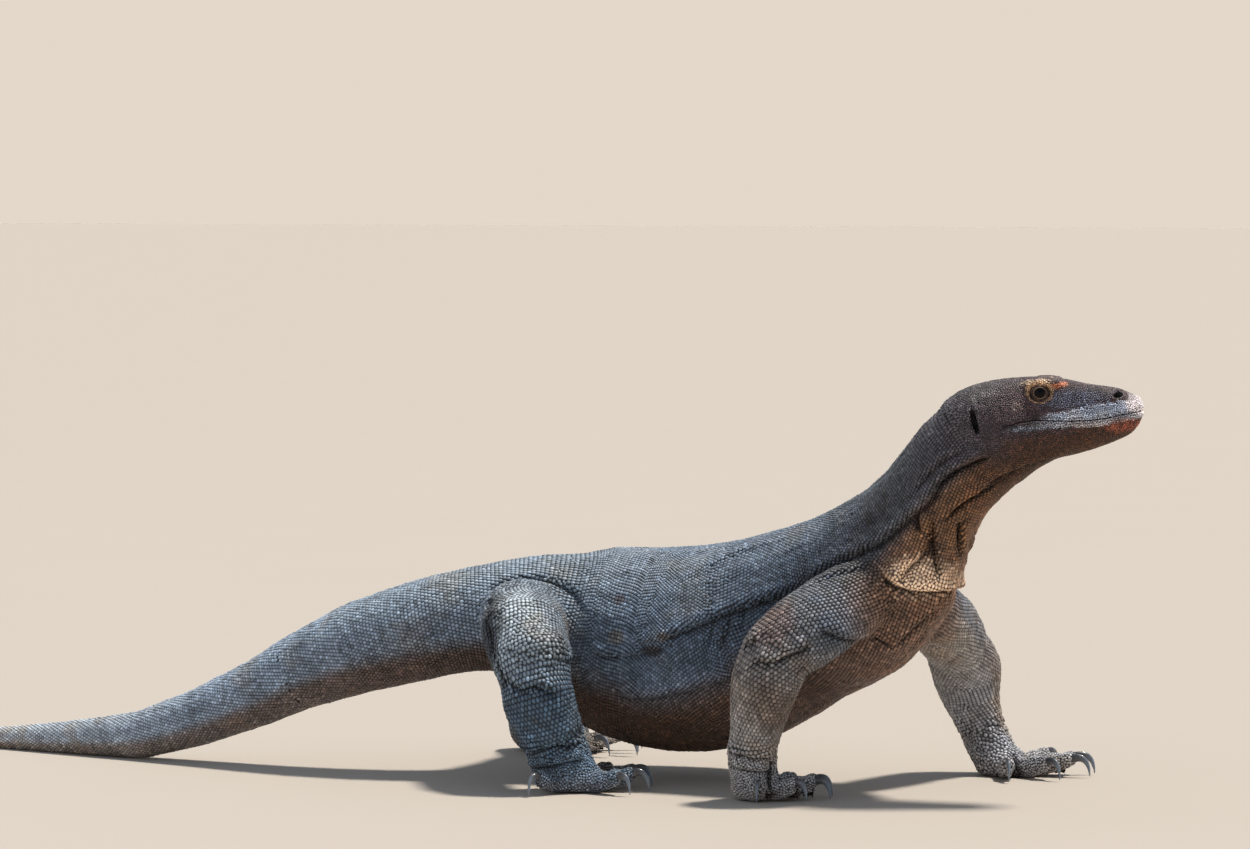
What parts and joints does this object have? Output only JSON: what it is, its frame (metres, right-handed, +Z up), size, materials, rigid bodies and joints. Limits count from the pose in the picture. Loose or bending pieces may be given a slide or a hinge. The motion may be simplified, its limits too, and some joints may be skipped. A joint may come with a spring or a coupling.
{
  "type": "komodo dragon",
  "caption": "Life-size Komodo dragon in mid-walk: head raised and mouth closed, trunk curved, clawed feet flat and the long tail laid along the floor.",
  "frame": {"origin": "on the floor, under the middle of the animal's bounding box", "axes": "+X towards the snout, +Y to the animal's left, +Z up"},
  "size_m": [1.9652, 0.5686, 0.5061],
  "materials": {
    "hide": "beaded scales, dusty and matt, dark between the scales",
    "claw": "dark horn, smooth and glossy",
    "eye": "wet, nearly black with a brown iris"
  },
  "bodies": {
    "root": {"belly": "hide", "chest": "hide", "claw_fore_left_1": "claw", "claw_fore_left_2": "claw", "claw_fore_left_3": "claw", "claw_fore_left_4": "claw", "claw_fore_left_5": "claw", "claw_fore_right_1": "claw", "claw_fore_right_2": "claw", "claw_fore_right_3": "claw", "claw_fore_right_4": "claw", "claw_fore_right_5": "claw", "claw_hind_left_1": "claw", "claw_hind_left_2": "claw", "claw_hind_left_3": "claw", "claw_hind_left_4": "claw", "claw_hind_left_5": "claw", "claw_hind_right_1": "claw", "claw_hind_right_2": "claw", "claw_hind_right_3": "claw", "claw_hind_right_4": "claw", "claw_hind_right_5": "claw", "eye_left": "eye", "eye_right": "eye", "foot_left": "hide", "foot_right": "hide", "forearm_left": "hide", "forearm_right": "hide", "hand_left": "hide", "hand_right": "hide", "head": "hide", "hips": "hide", "lower_jaw": "hide", "neck": "hide", "shank_left": "hide", "shank_right": "hide", "tail_base": "hide", "tail_middle": "hide", "tail_rear": "hide", "tail_tip": "hide", "thigh_left": "hide", "thigh_right": "hide", "upper_arm_left": "hide", "upper_arm_right": "hide"}
  },
  "joints": []
}
